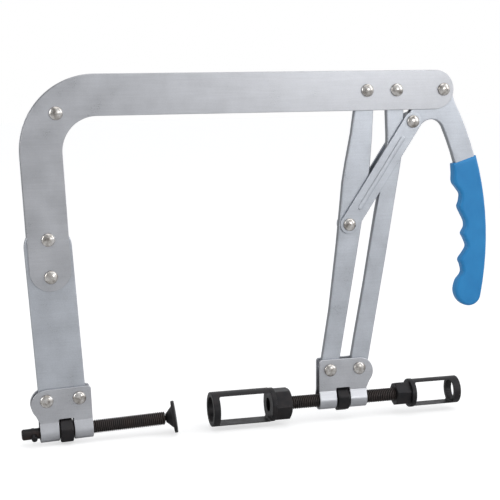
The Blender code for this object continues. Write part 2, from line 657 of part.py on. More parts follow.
def build_frame():
    """Everything that stays with the C-frame."""
    frame_plate("front_frame_plate", -1)
    frame_plate("rear_frame_plate", 1)
    lower_arm()
    corner_spacer()
    folded_bracket("fixed_bracket", FIXED_MATRIX)
    hex_nut("fixed_nut", SCREW_MATRIX, -FIXED_NUT_PHASE)
    rivet("corner_rivet", CORNER_RIVET_POINT)
    for name, point in zip(("arm_rivet_upper", "arm_rivet_lower"), LEG_RIVET_POINTS):
        rivet(name, point)
    bracket_seat = SHEET_IN + BRACKET_SHEET
    names = ("fixed_bracket_rivet_outer", "fixed_bracket_rivet_inner")
    for name, point in zip(names, bracket_rivet_points(FIXED_MATRIX)):
        rivet(name, point, bracket_seat)
    rivet("inner_link_rivet", INNER_PIVOT)
    rivet("outer_link_rivet", OUTER_PIVOT)
    rivet("handle_rivet", HANDLE_PIVOT)


def build_pad_screw():
    """The screw and its swivel foot, carried by the ball between them."""
    ball_joint = joint("pad_screw_advance", BALL_PLACE)
    hang(ball_joint, foot_ball())
    pin = make_object("screw_cross_pin", cross_pin_shape(CROSS_PIN_R), BLACK_OXIDE)
    hang(joint("pad_screw_turn", BALL_PLACE, ball_joint), pad_screw(), pin)
    hang(joint("foot_tilt", BALL_PLACE, ball_joint), swivel_foot())


def build_handle():
    hang(joint("handle_swing", spot(HANDLE_PIVOT)), handle_lever(), handle_grip())


def build_links():
    """The two parallel links, the toggle, and the bracket that the links carry."""
    inner = joint("inner_link_swing", spot(INNER_PIVOT))
    hang(inner, inner_link(), rivet("toggle_link_rivet", TOGGLE_LINK_PIVOT))
    hang(joint("outer_link_swing", spot(OUTER_PIVOT)), outer_link())
    toggles = joint("toggle_swing", spot(TOGGLE_LINK_PIVOT), inner)
    for name, side in (("front", -1), ("rear", 1)):
        hang(toggles, toggle(f"{name}_toggle", side),
             half_rivet(f"toggle_handle_rivet_{name}", TOGGLE_HANDLE_PIVOT, side))
    build_moving_bracket(joint("bracket_level", spot(INNER_FOOT), inner))


def build_moving_bracket(bracket):
    """The levelled bracket with its nut, rod and two adapters."""
    seat = SHEET_IN + BRACKET_SHEET
    outer, inner = bracket_rivet_points(MOVING_MATRIX)
    hang(bracket, folded_bracket("moving_bracket", MOVING_MATRIX),
         rivet("moving_bracket_rivet_outer", outer, seat),
         rivet("moving_bracket_rivet_inner", inner, seat))
    nut_matrix = Matrix.Translation(MOVING_NUT_PLACE)
    hang(joint("adjusting_nut_turn", MOVING_NUT_PLACE, bracket),
         hex_nut("adjusting_nut", nut_matrix, -MOVING_NUT_PHASE))
    rod = joint("rod_advance", MOVING_NUT_PLACE, bracket)
    hang(rod, threaded_rod())
    hang(joint("large_adapter_turn", MOVING_NUT_PLACE, rod), adapter("large_adapter", LARGE_ADAPTER))
    hang(joint("small_adapter_turn", MOVING_NUT_PLACE, rod), adapter("small_adapter", SMALL_ADAPTER))


def main():
    clear_scene()
    build_frame()
    build_pad_screw()
    build_handle()
    build_links()


main()
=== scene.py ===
"""Looks of the overhead valve spring compressor: finished surfaces, floor, light and camera.

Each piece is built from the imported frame's own outlines, boxes and joints, so it moves with the
body it belongs to. Lengths are in metres. X runs along the beam, Z is up and -Y is the front.
"""
import json
from math import acos, asin, atan2, ceil, cos, pi, radians, sin, sqrt

import bmesh
import bpy
from mathutils import Matrix, Vector


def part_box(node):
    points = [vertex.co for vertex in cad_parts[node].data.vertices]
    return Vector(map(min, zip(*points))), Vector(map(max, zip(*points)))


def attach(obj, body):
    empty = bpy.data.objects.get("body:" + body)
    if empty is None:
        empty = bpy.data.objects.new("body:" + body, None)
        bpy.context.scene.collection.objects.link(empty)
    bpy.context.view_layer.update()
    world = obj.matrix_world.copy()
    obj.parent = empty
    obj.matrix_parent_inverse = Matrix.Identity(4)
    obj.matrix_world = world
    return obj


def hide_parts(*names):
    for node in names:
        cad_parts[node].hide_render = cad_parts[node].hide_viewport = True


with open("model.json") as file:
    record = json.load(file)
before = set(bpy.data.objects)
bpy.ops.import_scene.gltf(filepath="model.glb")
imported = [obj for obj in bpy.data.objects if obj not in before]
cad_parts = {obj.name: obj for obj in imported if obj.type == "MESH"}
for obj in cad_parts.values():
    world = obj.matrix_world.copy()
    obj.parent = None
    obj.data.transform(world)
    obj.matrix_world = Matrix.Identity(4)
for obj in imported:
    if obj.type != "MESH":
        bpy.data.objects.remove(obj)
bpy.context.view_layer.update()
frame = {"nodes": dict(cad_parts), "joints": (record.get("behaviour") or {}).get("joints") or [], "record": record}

MM = 0.001
MERGE = 0.002 * MM

# Sheet and plate edges
SHEET_EDGE = 0.45 * MM
PLATE_EDGE = 0.9 * MM
TOGGLE_EDGE = 0.4 * MM
GRIP_EDGE = 3.0 * MM
CORNER_TURN = radians(26)         # a sharper turn than this stays a corner
SHARP_TURN = radians(40)          # a sharper turn than this between faces is shaded as an edge
GRIP_CORNER_TURN = radians(62)
ARC_STEP = radians(3.5)

# Toggle rib
TOGGLE_SHEET = 2.0 * MM
RIB_INSET = 18 * MM               # from each pivot to the middle of the rib's round end
RIB_WIDTH = 4.4 * MM
RIB_HEIGHT = 0.9 * MM

# Rivets
RIVET_RISE = 3.1 * MM
RIVET_SHANK_R = 4 * MM
RIVET_SKIRT = 0.5 * MM
RIVET_EXTRA = 0.6 * MM            # the dome stands this much higher than the CAD head
RIVET_SIDES = 40
DOME_STEPS = 12

# Brackets: a strip folded round a barrel, seen from the middle of its two rivets
BRACKET_SHEET = 1.8 * MM
BRACKET_EDGE = 0.5 * MM
BRACKET_TOP = 9.8 * MM
BRACKET_FLAT = 24.4 * MM
BRACKET_CORNER = 2.6 * MM
BULGE_X = -14.2 * MM
BULGE_Z = -3.5 * MM
BULGE_R = 13.2 * MM
BULGE_END = pi + radians(42)
BARREL_END = -21.2 * MM
BARREL_DROP = 28.9 * MM
BARREL_TOP = -18.8 * MM           # top of the barrel's straight end
BARREL_MID_R = 7.5 * MM           # middle of the sheet
EAR_Y = 4.5 * MM
CREASE_R = 2.0 * MM
CREASE_RISE = 9.5 * MM            # the ear starts to bend out this far above the barrel's axis
WINDOW_WIDTH = 13 * MM
WINDOW_RISE = 11.6 * MM           # window top above the barrel's axis
WINDOW_CORNER = 1.2 * MM
FOLD_STEP = radians(7.5)
CREASE_REACH = sqrt(CREASE_RISE ** 2 + (EAR_Y + CREASE_R) ** 2)
CREASE_TURN = (atan2(CREASE_RISE, EAR_Y + CREASE_R)
               - acos((BARREL_MID_R + CREASE_R) / CREASE_REACH))
BARREL_LENGTH = BARREL_MID_R * (pi / 2 + CREASE_TURN)
FLANK_LENGTH = BARREL_LENGTH + sqrt(CREASE_REACH ** 2 - (BARREL_MID_R + CREASE_R) ** 2)
FOLD_LENGTH = FLANK_LENGTH + CREASE_R * CREASE_TURN

# Threads and nuts
THREAD_PITCH = 1.75 * MM
THREAD_DEPTH = 1.05 * MM
THREAD_R = 6 * MM
THREAD_SIDES = 24
CREST_COLOUR = (0.10, 0.085, 0.08, 1)   # steel showing where the crests are rubbed
NUT_BORE_R = 6.3 * MM
NUT_FLAT = 10 * MM                # half the width across the flats
NUT_TURNS = {"fixed_nut": radians(225), "adjusting_nut": radians(218)}
NUT_SIDES = 72
BORE_EDGE = 0.5 * MM
FACE_SHARE = 0.95                 # a nut's round face, as a share of half the width across the flats
CHAMFER_SLOPE = 1.7               # a nut's corner grows this much for each step in from its face
HEX_SOFTNESS = 60

# Pad screw
STUB_LENGTH = 14.9 * MM
STUB_R = 4.7 * MM
STUD_BORE_R = 2.1 * MM
STUD_BORE_DEPTH = 8.5 * MM
STEM_R = 1.8 * MM
BALL_R = 2.8 * MM
CROSS_PIN_R = 2.5 * MM
CROSS_PIN_EDGE = 0.5 * MM
CROSS_PIN_SIDES = 28
BALL_SIDES = 32

# Swivel foot, measured from the centre of its ball
SOCKET_R = 3.0 * MM
FOOT_LIP = -1.2 * MM
FOOT_NECK_R = 4.1 * MM
FOOT_CONE_R = 9.4 * MM
FOOT_BACK = 5 * MM
FOOT_FACE = 7.8 * MM
FOOT_R = 14.2 * MM
FOOT_DIMPLE_R = 3.0 * MM
FOOT_EDGE = 0.5 * MM
FOOT_SIDES = 72

# Spring adapters: lengths from the open rim, and radii
LARGE_ADAPTER = {"ring": 6.0, "cup": 53.7, "collar": 58.3, "tail": 73.3, "radius": 15.5,
                 "collar_radius": 15.2, "bore": 11.0, "slot": 13.0, "flat": 13, "corner": 180}
SMALL_ADAPTER = {"ring": 6.6, "cup": 44.3, "collar": 48.7, "tail": 62.6, "radius": 12.7,
                 "collar_radius": 13.2, "bore": 9.3, "slot": 11.0, "flat": 10, "corner": 162}
ADAPTER_EDGE = 0.6 * MM
SLOT_CORNER = 1.5 * MM
SLOT_EDGE = 0.3 * MM
CUP_FLOOR = 1 * MM
ADAPTER_SIDES = 96

# Light
FLOOR_REACH = 6
FLOOR_COLOUR = (0.58, 0.58, 0.58, 1)
FLOOR_GLOW = 0.62                 # lifts the floor to white where the camera sees it
WORLD_SPREAD = (0.46, 0.84)       # strength from the left and from the right
WORLD_COLOUR = (0.97, 0.98, 1.0, 1)
LIGHT_AIM = (0, 0, 0.16)
SOFT_BOXES = (("overhead", (0.2, -0.3, 1.6), (1.6, 1.2), 5),
              ("front", (0.72, -1.7, 0.55), (0.4, 0.4), 2.2),
              ("right", (1.3, -0.9, 0.9), (0.5, 1.2), 4),
              ("left", (-1.2, -0.3, 0.6), (0.25, 0.8), 3))

# Camera: its aim and distance, and its turns from straight ahead along +Y
TARGET = Vector((-11.0, 0, 160.95)) * MM
DISTANCE = 1090.9 * MM
YAW = radians(15.435)
PITCH = radians(8.649)
ROLL = radians(-0.507)
LENS = 88.84
SENSOR = 36.0


# --- Materials ---------------------------------------------------------------------------------

def new_material(name, metallic, roughness):
    material = bpy.data.materials.new(name)
    material.use_nodes = True
    shader = material.node_tree.nodes["Principled BSDF"]
    shader.inputs["Metallic"].default_value = metallic
    shader.inputs["Roughness"].default_value = roughness
    return material, material.node_tree, shader


def add_node(tree, kind, **settings):
    node = tree.nodes.new(kind)
    for key, value in settings.items():
        setattr(node, key, value)
    return node


def feed(tree, value, socket):
    """Link a pattern to a socket, or set a constant there."""
    if isinstance(value, bpy.types.NodeSocket):
        tree.links.new(value, socket)
    else:
        socket.default_value = value


def object_points(tree, scale=(1, 1, 1), turn=(0, 0, 0)):
    """The piece's own coordinates, stretched and turned, for a pattern."""
    source = add_node(tree, "ShaderNodeTexCoord")
    mapping = add_node(tree, "ShaderNodeMapping")
    mapping.inputs["Scale"].default_value = scale
    mapping.inputs["Rotation"].default_value = turn
    tree.links.new(source.outputs["Object"], mapping.inputs["Vector"])
    return mapping.outputs["Vector"]


def noise(tree, points, scale, detail):
    node = add_node(tree, "ShaderNodeTexNoise")
    node.inputs["Scale"].default_value = scale
    node.inputs["Detail"].default_value = detail
    tree.links.new(points, node.inputs["Vector"])
    return node.outputs["Fac"]


def spread(tree, value, low, high, source=(0.3, 0.7)):
    """A pattern's value, stretched from its usual span to low..high."""
    node = add_node(tree, "ShaderNodeMapRange")
    for name, number in zip(("From Min", "From Max", "To Min", "To Max"), (*source, low, high)):
        node.inputs[name].default_value = number
    tree.links.new(value, node.inputs["Value"])
    return node.outputs["Result"]


def ramp(tree, value, stops):
    """A colour ramp through (place, grey or colour) stops."""
    node = add_node(tree, "ShaderNodeValToRGB")
    elements = node.color_ramp.elements
    while len(elements) < len(stops):
        elements.new(0.5)
    for element, (place, colour) in zip(elements, stops):
        element.position = place
        element.color = (*colour, 1) if isinstance(colour, tuple) else (colour, colour, colour, 1)
    tree.links.new(value, node.inputs["Fac"])
    return node.outputs["Color"]


def calculate(tree, operation, first, second):
    node = add_node(tree, "ShaderNodeMath", operation=operation)
    for value, socket in zip((first, second), node.inputs):
        feed(tree, value, socket)
    return node.outputs["Value"]


def blend(tree, kind, factor, first, second):
    """Two colours blended, the second over the first."""
    node = add_node(tree, "ShaderNodeMix", data_type='RGBA', blend_type=kind)
    for value, socket in zip((factor, first, second), (node.inputs[0], node.inputs[6], node.inputs[7])):
        feed(tree, value, socket)
    return node.outputs[2]


def bump(tree, shader, height, distance, strength):
    node = add_node(tree, "ShaderNodeBump")
    node.inputs["Distance"].default_value = distance
    node.inputs["Strength"].default_value = strength
    tree.links.new(height, node.inputs["Height"])
    tree.links.new(node.outputs["Normal"], shader.inputs["Normal"])


def rim_value(tree):
    """1 on a plate's cut side and a thread's crests, 0 on a plate's faces and elsewhere."""
    node = add_node(tree, "ShaderNodeAttribute")
    node.attribute_name = "rim"
    return node.outputs["Fac"]


def zinc_material(name, colour, grain_turn):
    """Zinc plated sheet steel: cloudy, finely rolled along grain_turn, with shear marks on its sides and painted
    shade that darkens them.
    """
    material, tree, shader = new_material(name, 0.92, 0.36)
    points = object_points(tree)
    grain = object_points(tree, (30, 30, 600), (0, grain_turn, 0))
    clouds = noise(tree, points, 45, 3)
    speckle = noise(tree, points, 1400, 2)
    rolled = noise(tree, grain, 1.0, 4)
    shade = calculate(tree, 'ADD', spread(tree, clouds, 0.90, 1.04), spread(tree, speckle, -0.05, 0.05))
    shade = calculate(tree, 'ADD', shade, spread(tree, rolled, -0.03, 0.03))
    rim = rim_value(tree)
    # Painted shade: the plate's rounded edges and cut sides are darkened, down to 0.62 at the middle of each side.
    painted_edge_shade = ramp(tree, rim, ((0.0, 1.0), (0.35, 1.0), (0.7, 0.85), (1.0, 0.62)))
    tone = add_node(tree, "ShaderNodeCombineColor")
    for socket, part in zip(tone.inputs, colour):
        tree.links.new(calculate(tree, 'MULTIPLY', shade, part), socket)
    colour = blend(tree, 'MULTIPLY', 1.0, tone.outputs["Color"], painted_edge_shade)
    tree.links.new(colour, shader.inputs["Base Color"])
    smear = calculate(tree, 'ADD', spread(tree, clouds, 0.30, 0.40), spread(tree, speckle, -0.04, 0.06))
    tree.links.new(smear, shader.inputs["Roughness"])
    marks = add_node(tree, "ShaderNodeTexWave", bands_direction='DIAGONAL')
    marks.inputs["Scale"].default_value = 260
    marks.inputs["Distortion"].default_value = 1.5
    tree.links.new(points, marks.inputs["Vector"])
    sheared = calculate(tree, 'MULTIPLY', marks.outputs["Fac"], spread(tree, rim, 0, 1.2, (0.6, 1.0)))
    height = calculate(tree, 'ADD', sheared, calculate(tree, 'MULTIPLY', speckle, 0.35))
    height = calculate(tree, 'ADD', height, calculate(tree, 'MULTIPLY', rolled, 0.15))
    bump(tree, shader, height, 0.08 * MM, 0.8)
    return material


def nickel_material():
    """Satin nickel rivets, a little warm, with hammer dimples and a blotchy tone, paler and darker at random."""
    material, tree, shader = new_material("satin_nickel", 1.0, 0.2)
    points = object_points(tree)
    dimples = noise(tree, points, 420, 2)
    stain = noise(tree, points, 230, 3)
    tints = ((0.34, (0.32, 0.295, 0.27)), (0.5, (0.62, 0.59, 0.555)), (0.66, (0.82, 0.80, 0.775)))
    colour = ramp(tree, stain, tints)
    tree.links.new(colour, shader.inputs["Base Color"])
    tree.links.new(spread(tree, dimples, 0.14, 0.30), shader.inputs["Roughness"])
    bump(tree, shader, dimples, 0.12 * MM, 0.5)
    return material


def black_material(name, brown, turned):
    """Black oxide on machined steel, with a brown cast where oil has dried, and lathe marks."""
    material, tree, shader = new_material(name, 0.55, 0.42)
    points = object_points(tree)
    clouds = noise(tree, points, 150, 3)
    speckle = noise(tree, points, 2200, 2)
    dark = (0.017, 0.017, 0.019)
    warm = tuple(a + (b - a) * brown for a, b in zip((0.024, 0.024, 0.027), (0.042, 0.028, 0.024)))
    oxide = ramp(tree, clouds, ((0.35, dark), (0.7, warm)))
    rubbed = spread(tree, rim_value(tree), 0.0, 1.0, (0.6, 1.0))
    colour = blend(tree, 'MIX', rubbed, oxide, CREST_COLOUR)
    tree.links.new(colour, shader.inputs["Base Color"])
    smear = calculate(tree, 'ADD', spread(tree, clouds, 0.34, 0.48), spread(tree, speckle, -0.05, 0.08))
    tree.links.new(smear, shader.inputs["Roughness"])
    lathe_marks = noise(tree, object_points(tree, (2500, 8, 8)), 1.0, 2)
    height = calculate(tree, 'ADD', calculate(tree, 'MULTIPLY', lathe_marks, turned), speckle)
    bump(tree, shader, height, 0.04 * MM, 0.7)
    return material


def vinyl_material():
    """Dipped blue vinyl: a soft sheen, faint orange peel, and paler rubbed places."""
    material, tree, shader = new_material("blue_vinyl_dip", 0.0, 0.4)
    shader.inputs["Coat Weight"].default_value = 0.15
    shader.inputs["Coat Roughness"].default_value = 0.35
    shader.inputs["Specular IOR Level"].default_value = 0.45
    points = object_points(tree)
    clouds = noise(tree, points, 60, 3)
    peel = noise(tree, points, 700, 2)
    colour = ramp(tree, clouds, ((0.3, (0.012, 0.238, 0.580)), (0.7, (0.018, 0.275, 0.635))))
    tree.links.new(colour, shader.inputs["Base Color"])
    tree.links.new(spread(tree, peel, 0.34, 0.48), shader.inputs["Roughness"])
    bump(tree, shader, calculate(tree, 'ADD', peel, clouds), 0.06 * MM, 0.5)
    return material


# --- Pieces ------------------------------------------------------------------------------------

def node_body(node):
    """The name of the body that a CAD node rides on."""
    bodies = frame["record"]["behaviour"]["bodies"]
    return next(body for body, nodes in bodies.items() if node in nodes)


def finish_piece(node, material, shape):
    """A piece from a bmesh, in place of its CAD node and riding on the same body."""
    bmesh.ops.remove_doubles(shape, verts=shape.verts, dist=MERGE)
    bmesh.ops.dissolve_degenerate(shape, edges=shape.edges, dist=MERGE)
    bmesh.ops.recalc_face_normals(shape, faces=shape.faces)
    piece = new_object(f"{node}_finished", shape)
    piece.data.materials.append(material)
    piece.data.shade_smooth()
    piece.data.set_sharp_from_angle(angle=SHARP_TURN)
    weighted = piece.modifiers.new("weighted", 'WEIGHTED_NORMAL')
    weighted.keep_sharp = True
    weighted.weight = 100
    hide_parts(node)
    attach(piece, node_body(node))
    return piece


def new_object(name, shape):
    """An object in the scene from a bmesh, which is freed."""
    mesh = bpy.data.meshes.new(name)
    shape.to_mesh(mesh)
    shape.free()
    item = bpy.data.objects.new(name, mesh)
    bpy.context.collection.objects.link(item)
    return item


def cap_loops(node, height):
    """The outline of a flat node's face at Y = height, then its holes, as points in X and Z."""
    shape = bmesh.new()
    shape.from_mesh(frame["nodes"][node].data)
    bmesh.ops.remove_doubles(shape, verts=shape.verts, dist=MERGE)
    shape.verts.index_update()
    cap = {face for face in shape.faces if all(abs(v.co.y - height) < MERGE for v in face.verts)}
    beside = {}
    for edge in shape.edges:
        if sum(face in cap for face in edge.link_faces) == 1:
            for vert in edge.verts:
                beside.setdefault(vert, []).append(edge.other_vert(vert))
    loops = []
    used = set()
    for start in sorted(beside, key=lambda vert: vert.index):
        loop = []
        here = start
        while here is not None and here not in used:
            used.add(here)
            loop.append(Vector((here.co.x, here.co.z)))
            here = next((vert for vert in beside[here] if vert not in used), None)
        if loop:
            loops.append(straighten(loop))
    shape.free()
    loops.sort(key=lambda loop: -abs(area(loop)))
    return [loop if (area(loop) > 0) == (loop is loops[0]) else loop[::-1] for loop in loops]


def area(loop):
    """The signed area of a closed loop, positive when it runs anticlockwise."""
    return sum(a.cross(b) for a, b in zip(loop, loop[1:] + loop[:1])) / 2


def straighten(loop):
    """The loop without the points that lie along a straight side."""
    kept = []
    for before, here, after in zip(loop[-1:] + loop[:-1], loop, loop[1:] + loop[:1]):
        if abs((here - before).normalized().cross((after - here).normalized())) > 0.003:
            kept.append(here)
    return kept


def smooth_loop(loop, corner=CORNER_TURN):
    """The same closed loop with its gentle turns made round, and its corners kept."""
    count = len(loop)
    sides = [loop[(i + 1) % count] - loop[i] for i in range(count)]

    def heading(i, leaving):
        before, after = sides[i - 1], sides[i]
        if before.angle(after) > corner:
            return (after if leaving else before).normalized()
        return (before * before.length + after * after.length).normalized()

    result = []
    for i, side in enumerate(sides):
        start, end = loop[i], loop[(i + 1) % count]
        leave = heading(i, True) * side.length
        arrive = heading((i + 1) % count, False) * side.length
        pieces = max(1, ceil((leave.angle(side) + arrive.angle(side)) / ARC_STEP))
        for k in range(pieces):
            t = k / pieces
            result.append(start * (2 * t ** 3 - 3 * t ** 2 + 1) + leave * (t ** 3 - 2 * t ** 2 + t)
                          + end * (3 * t ** 2 - 2 * t ** 3) + arrive * (t ** 3 - t ** 2))
    return result


def inset(loop, distance):
    """The loop moved into its material, which lies on its left, with mitred corners."""
    result = []
    for before, here, after in zip(loop[-1:] + loop[:-1], loop, loop[1:] + loop[:1]):
        first = (here - before).normalized().orthogonal()
        second = (after - here).normalized().orthogonal()
        result.append(here + (first + second) * distance / max(1 + first.dot(second), 0.6))
    return result


def rim_layer(shape):
    layers = shape.verts.layers.float
    return layers.get("rim") or layers.new("rim")


def rounded_plate(shape, loops, low, high, radius, steps=4):
    """A plate with holes whose edges are all rounded over, added to a bmesh."""
    rim = rim_layer(shape)
    levels = [(radius * (1 - sin(pi / 2 * k / steps)), radius * (1 - cos(pi / 2 * k / steps)), k / steps)
              for k in range(steps + 1)]
    rings = [(depth, low + rise, share) for depth, rise, share in levels]
    rings += [(depth, high - rise, share) for depth, rise, share in reversed(levels)]
    caps = ([], [])
    for loop in loops:
        stack = []
        for depth, height, share in rings:
            ring = [shape.verts.new((point.x, height, point.y)) for point in inset(loop, depth)]
            for vert in ring:
                vert[rim] = share
            stack.append(ring)
        bridge(shape, stack)
        for cap, ring in zip(caps, (stack[0], stack[-1])):
            cap.extend(shape.edges.get((a, b)) for a, b in zip(ring, ring[1:] + ring[:1]))
    for cap in caps:
        bmesh.ops.triangle_fill(shape, use_beauty=True, edges=cap)


def bridge(shape, stack):
    """Faces between closed rings of points. A ring of one point closes the end."""
    for first, second in zip(stack, stack[1:]):
        count = max(len(first), len(second))
        for i in range(count):
            j = (i + 1) % count
            corners = [first[i % len(first)], first[j % len(first)],
                       second[j % len(second)], second[i % len(second)]]
            corners = list(dict.fromkeys(corners))
            if len(corners) > 2:
                shape.faces.new(corners)


def plate_piece(node, material, radius, corner=CORNER_TURN, steps=4):
    """A rounded plate with the outline and the holes of a flat CAD node."""
    low, high = (point.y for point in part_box(node))
    flat = low if abs(low) < abs(high) or low < 0 < high else high
    loops = [smooth_loop(loop, corner) for loop in cap_loops(node, flat)]
    shape = bmesh.new()
    rounded_plate(shape, loops, low, high, radius, steps)
    return finish_piece(node, material, shape)


# --- Turned pieces -----------------------------------------------------------------------------

def turned(shape, profile, sides=48, radius_at=None):
    """Turn (place, radius) points about X. radius_at scales the radius at an angle."""
    stack = []
    for place, radius in profile:
        if radius < 0.01 * MM:
            stack.append([shape.verts.new((place, 0, 0))])
            continue
        ring = []
        for i in range(sides):
            turn = 2 * pi * i / sides
            reach = radius_at(place, radius, turn) if radius_at else radius
            ring.append(shape.verts.new((place, reach * cos(turn), reach * sin(turn))))
        stack.append(ring)
    bridge(shape, stack)


def placed_along(axis, place):
    """The matrix that takes X to an axis through a place."""
    turn = Vector((1, 0, 0)).rotation_difference(Vector(axis))
    return Matrix.Translation(place) @ turn.to_matrix().to_4x4()


def joint_matrix(joint_name):
    joint = next(item for item in frame["joints"] if item["name"] == joint_name)
    return placed_along(joint["axis"], joint["pos_m"])


def rivet_head(sign, seat, radius):
    """Half of a rivet's profile: shank, skirt and a round dome."""
    rise = RIVET_RISE - RIVET_SKIRT
    turns = [pi / 2 * k / DOME_STEPS for k in range(DOME_STEPS, 0, -1)]
    dome = [(sign * (seat + RIVET_SKIRT + rise * cos(turn)), radius * sin(turn)) for turn in turns]
    return ([(sign * seat, RIVET_SHANK_R), (sign * seat, radius * 0.97),
             (sign * (seat + 0.1 * MM), radius)] + dome + [(sign * (seat + RIVET_RISE), 0)])


def rivet_piece(node, material):
    """A rivet, or one half of one, with domed heads where its CAD node has them."""
    low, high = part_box(node)
    centre = (low + high) / 2
    radius = (high.x - low.x) / 2
    profile = []
    for sign, end in ((-1, -low.y), (1, high.y)):
        if end > 0:
            head = rivet_head(sign, end - RIVET_RISE + RIVET_EXTRA, radius)
        else:
            head = [(sign * end, RIVET_SHANK_R), (sign * end, 0)]
        profile += head[::-1] if sign < 0 else head
    shape = bmesh.new()
    turned(shape, profile, RIVET_SIDES)
    matrix = Matrix.Translation((centre.x, 0, centre.z)) @ Matrix.Rotation(pi / 2, 4, 'Z')
    return turned_piece(node, material, matrix, shape)


def hex_reach(flat, turn):
    """The reach of a hexagon with slightly rounded corners, the first of them at turn 0."""
    total = sum(abs(cos(turn - pi / 6 - k * pi / 3)) ** HEX_SOFTNESS for k in range(3))
    return flat / total ** (1 / HEX_SOFTNESS)


def thread(shape, start, end):
    """A right-hand helical thread along X, running out into its root at both ends."""
    rim = rim_layer(shape)
    root = THREAD_R - THREAD_DEPTH
    stations = ((0.0, root), (0.18, root), (0.5, THREAD_R), (0.68, THREAD_R))
    turns = ceil((end - start) / THREAD_PITCH) + 1
    rows = []
    for turn in range(-1, turns):
        for share, reach in stations:
            row = []
            for i in range(THREAD_SIDES + 1):
                angle = 2 * pi * i / THREAD_SIDES
                place = start + (turn + share + i / THREAD_SIDES) * THREAD_PITCH
                here = reach if start < place < end else root
                place = min(max(place, start), end)
                vert = shape.verts.new((place, here * cos(angle), here * sin(angle)))
                vert[rim] = 0.0 if here == root else 1.0
                row.append(vert)
            rows.append(row)
    for first, second in zip(rows, rows[1:]):
        for i in range(THREAD_SIDES):
            shape.faces.new((first[i], first[i + 1], second[i + 1], second[i]))


def node_span(node, matrix):
    """The ends of a CAD node along the X axis of a matrix."""
    back = matrix.inverted()
    places = [(back @ vert.co).x for vert in frame["nodes"][node].data.vertices]
    return min(places), max(places)


def node_middle(node):
    low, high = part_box(node)
    return (low + high) / 2


def turned_piece(node, material, matrix, shape):
    """A piece drawn along X, moved by the matrix to its place on the tool."""
    bmesh.ops.transform(shape, matrix=matrix, verts=shape.verts)
    return finish_piece(node, material, shape)


def nut_piece(node, material, matrix):
    """A hexagon nut, chamfered at both faces."""
    low, high = node_span(node, matrix)
    corner = NUT_TURNS[node]

    def reach(place, radius, turn):
        if radius <= NUT_BORE_R + BORE_EDGE:
            return radius
        depth = min(place - low, high - place)
        return min(hex_reach(NUT_FLAT, turn - corner), NUT_FLAT * FACE_SHARE + depth * CHAMFER_SLOPE)

    steps = [0, 0.15, 0.4, 0.7, 1.0, 1.3]
    profile = [(low + step * MM, NUT_FLAT) for step in steps]
    profile += [(high - step * MM, NUT_FLAT) for step in reversed(steps)]
    profile = [(low, NUT_BORE_R + BORE_EDGE)] + profile + [(high, NUT_BORE_R + BORE_EDGE)]
    profile = [(low + BORE_EDGE, NUT_BORE_R)] + profile + [(high - BORE_EDGE, NUT_BORE_R)]
    shape = bmesh.new()
    turned(shape, profile + profile[:1], NUT_SIDES, reach)
    return turned_piece(node, material, matrix, shape)


def make_pad_screw(material, matrix):
    """The pad screw with its stub, and a bore in its end for the ball stud."""
    low, high = node_span("pad_screw", matrix)
    root = THREAD_R - THREAD_DEPTH
    stub = low + STUB_LENGTH
    bore_end = high - STUD_BORE_DEPTH
    shape = bmesh.new()
    turned(shape, [(low, 0), (low, STUB_R - 1.3 * MM), (low + 0.4 * MM, STUB_R - 0.5 * MM),
                   (low + 1.2 * MM, STUB_R), (stub, STUB_R), (stub, root)], THREAD_SIDES)
    thread(shape, stub, high)
    turned(shape, [(high, root), (high, STUD_BORE_R), (bore_end, STUD_BORE_R), (bore_end, 0)], THREAD_SIDES)
    return turned_piece("pad_screw", material, matrix, shape)


def make_cross_pin(material):
    pin = node_middle("screw_cross_pin")
    ends = [vert.co - pin for vert in frame["nodes"]["screw_cross_pin"].data.vertices]
    far = max(ends, key=lambda point: point.length)
    half = sqrt(far.length ** 2 - CROSS_PIN_R ** 2)
    axis = sum((point if point.dot(far) > 0 else -point for point in ends), Vector())
    edge = CROSS_PIN_EDGE
    shape = bmesh.new()
    turned(shape, [(-half, 0), (-half, CROSS_PIN_R - edge), (edge - half, CROSS_PIN_R),
                   (half - edge, CROSS_PIN_R), (half, CROSS_PIN_R - edge), (half, 0)], CROSS_PIN_SIDES)
    return turned_piece("screw_cross_pin", material, placed_along(axis, pin), shape)


def make_foot_ball(material, matrix):
    """The ball stud: a plain stem that runs into the ball."""
    meet = asin(STEM_R / BALL_R)
    ball = [(-BALL_R * cos(meet + (pi - meet) * k / 14), BALL_R * sin(meet + (pi - meet) * k / 14))
            for k in range(15)]
    start = node_span("foot_ball", matrix)[0]
    shape = bmesh.new()
    turned(shape, [(start, 0), (start, STEM_R)] + ball, BALL_SIDES)
    return turned_piece("foot_ball", material, matrix, shape)


def make_foot(material):
    """The swivel foot: an open socket, a cone and a broad rim with eased edges."""
    mount = next(item for item in frame["record"]["mounts"] if item["name"] == "foot_face")
    matrix = placed_along(mount["axis"], joint_matrix("foot_tilt").translation)
    lip = acos(FOOT_LIP / SOCKET_R)
    socket = [(SOCKET_R * cos(lip * k / 12), SOCKET_R * sin(lip * k / 12)) for k in range(13)]
    edge = FOOT_EDGE
    cone = [(FOOT_LIP, FOOT_NECK_R - edge / 2), (FOOT_LIP + edge, FOOT_NECK_R),
            (FOOT_BACK - edge, FOOT_CONE_R), (FOOT_BACK, FOOT_CONE_R + edge)]
    rim = [(FOOT_BACK, FOOT_R - edge), (FOOT_BACK + edge * 0.3, FOOT_R - edge * 0.3),
           (FOOT_BACK + edge, FOOT_R), (FOOT_FACE - edge, FOOT_R),
           (FOOT_FACE - edge * 0.3, FOOT_R - edge * 0.3), (FOOT_FACE, FOOT_R - edge)]
    floor = FOOT_FACE - 0.4 * MM
    face = [(FOOT_FACE, FOOT_DIMPLE_R + 0.4 * MM), (floor, FOOT_DIMPLE_R), (floor, 0)]
    shape = bmesh.new()
    turned(shape, socket + cone + rim + face, FOOT_SIDES)
    return turned_piece("swivel_foot", material, matrix, shape)


